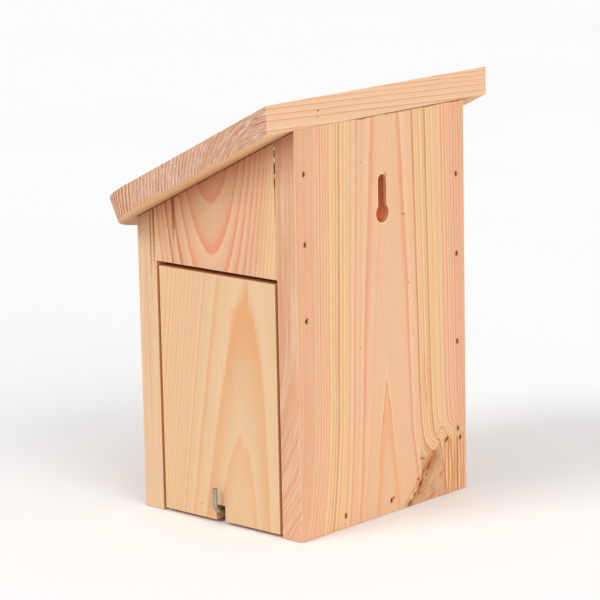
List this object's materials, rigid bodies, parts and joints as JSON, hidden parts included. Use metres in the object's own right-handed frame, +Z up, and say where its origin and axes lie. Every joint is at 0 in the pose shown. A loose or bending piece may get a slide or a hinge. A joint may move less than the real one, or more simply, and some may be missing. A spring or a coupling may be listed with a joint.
{
  "type": "birdhouse",
  "caption": "Wall-hung wooden nesting box for small birds, with a bowed sloping roof, a side that swings up on nails for cleaning and a turning hook that holds it shut.",
  "frame": {"origin": "on the ground, midway across the box and midway between the roof's front tip and its back face", "axes": "+Z up, +Y towards the wall that the box hangs on, +X towards the side with the door"},
  "size_m": [0.2064, 0.1755, 0.2732],
  "materials": {
    "pine_back": "planed and sanded, unfinished, vertical grain with a knot",
    "pine_front": "planed and sanded, unfinished, vertical grain",
    "pine_side": "planed and sanded, unfinished, vertical grain",
    "pine_upper_side": "planed and sanded, unfinished, vertical grain",
    "pine_floor": "planed, unfinished, grain across the box",
    "pine_roof": "planed and sanded, unfinished, grain across the box, end grain on the two sides",
    "pine_door": "planed and sanded, unfinished, pale vertical grain",
    "zinc_wire": "dull zinc plating",
    "steel_brad": "dull steel, sunk just below the wood",
    "steel_nail": "dull steel"
  },
  "bodies": {
    "root": {"back_panel": "pine_back", "front_panel": "pine_front", "fixed_side_panel": "pine_side", "upper_side_panel": "pine_upper_side", "floor_panel": "pine_floor", "roof_board": "pine_roof", "back_fixed_side_brads": "steel_brad", "back_upper_side_brads": "steel_brad", "back_floor_brads": "steel_brad", "front_fixed_side_brads": "steel_brad", "front_upper_side_brads": "steel_brad", "front_floor_brads": "steel_brad", "fixed_side_floor_brads": "steel_brad", "roof_back_brads": "steel_brad", "roof_front_brads": "steel_brad", "roof_fixed_side_brads": "steel_brad", "roof_upper_side_brads": "steel_brad", "door_pivot_nail_back": "steel_nail", "door_pivot_nail_front": "steel_nail"},
    "door": {"door": "pine_door"},
    "latch_hook": {"latch_hook": "zinc_wire"}
  },
  "joints": [
    {"name": "door_hinge", "type": "hinge", "parent": "root", "child": "door", "pos_m": [0.0712, 0.02029, 0.1376], "axis": [0, -1, 0], "range_deg": [0, 135]},
    {"name": "hook_turn", "type": "hinge", "parent": "root", "child": "latch_hook", "pos_m": [0.064, 0.01938, 0.0085], "axis": [1, 0, 0], "range_deg": [0, 180]}
  ]
}
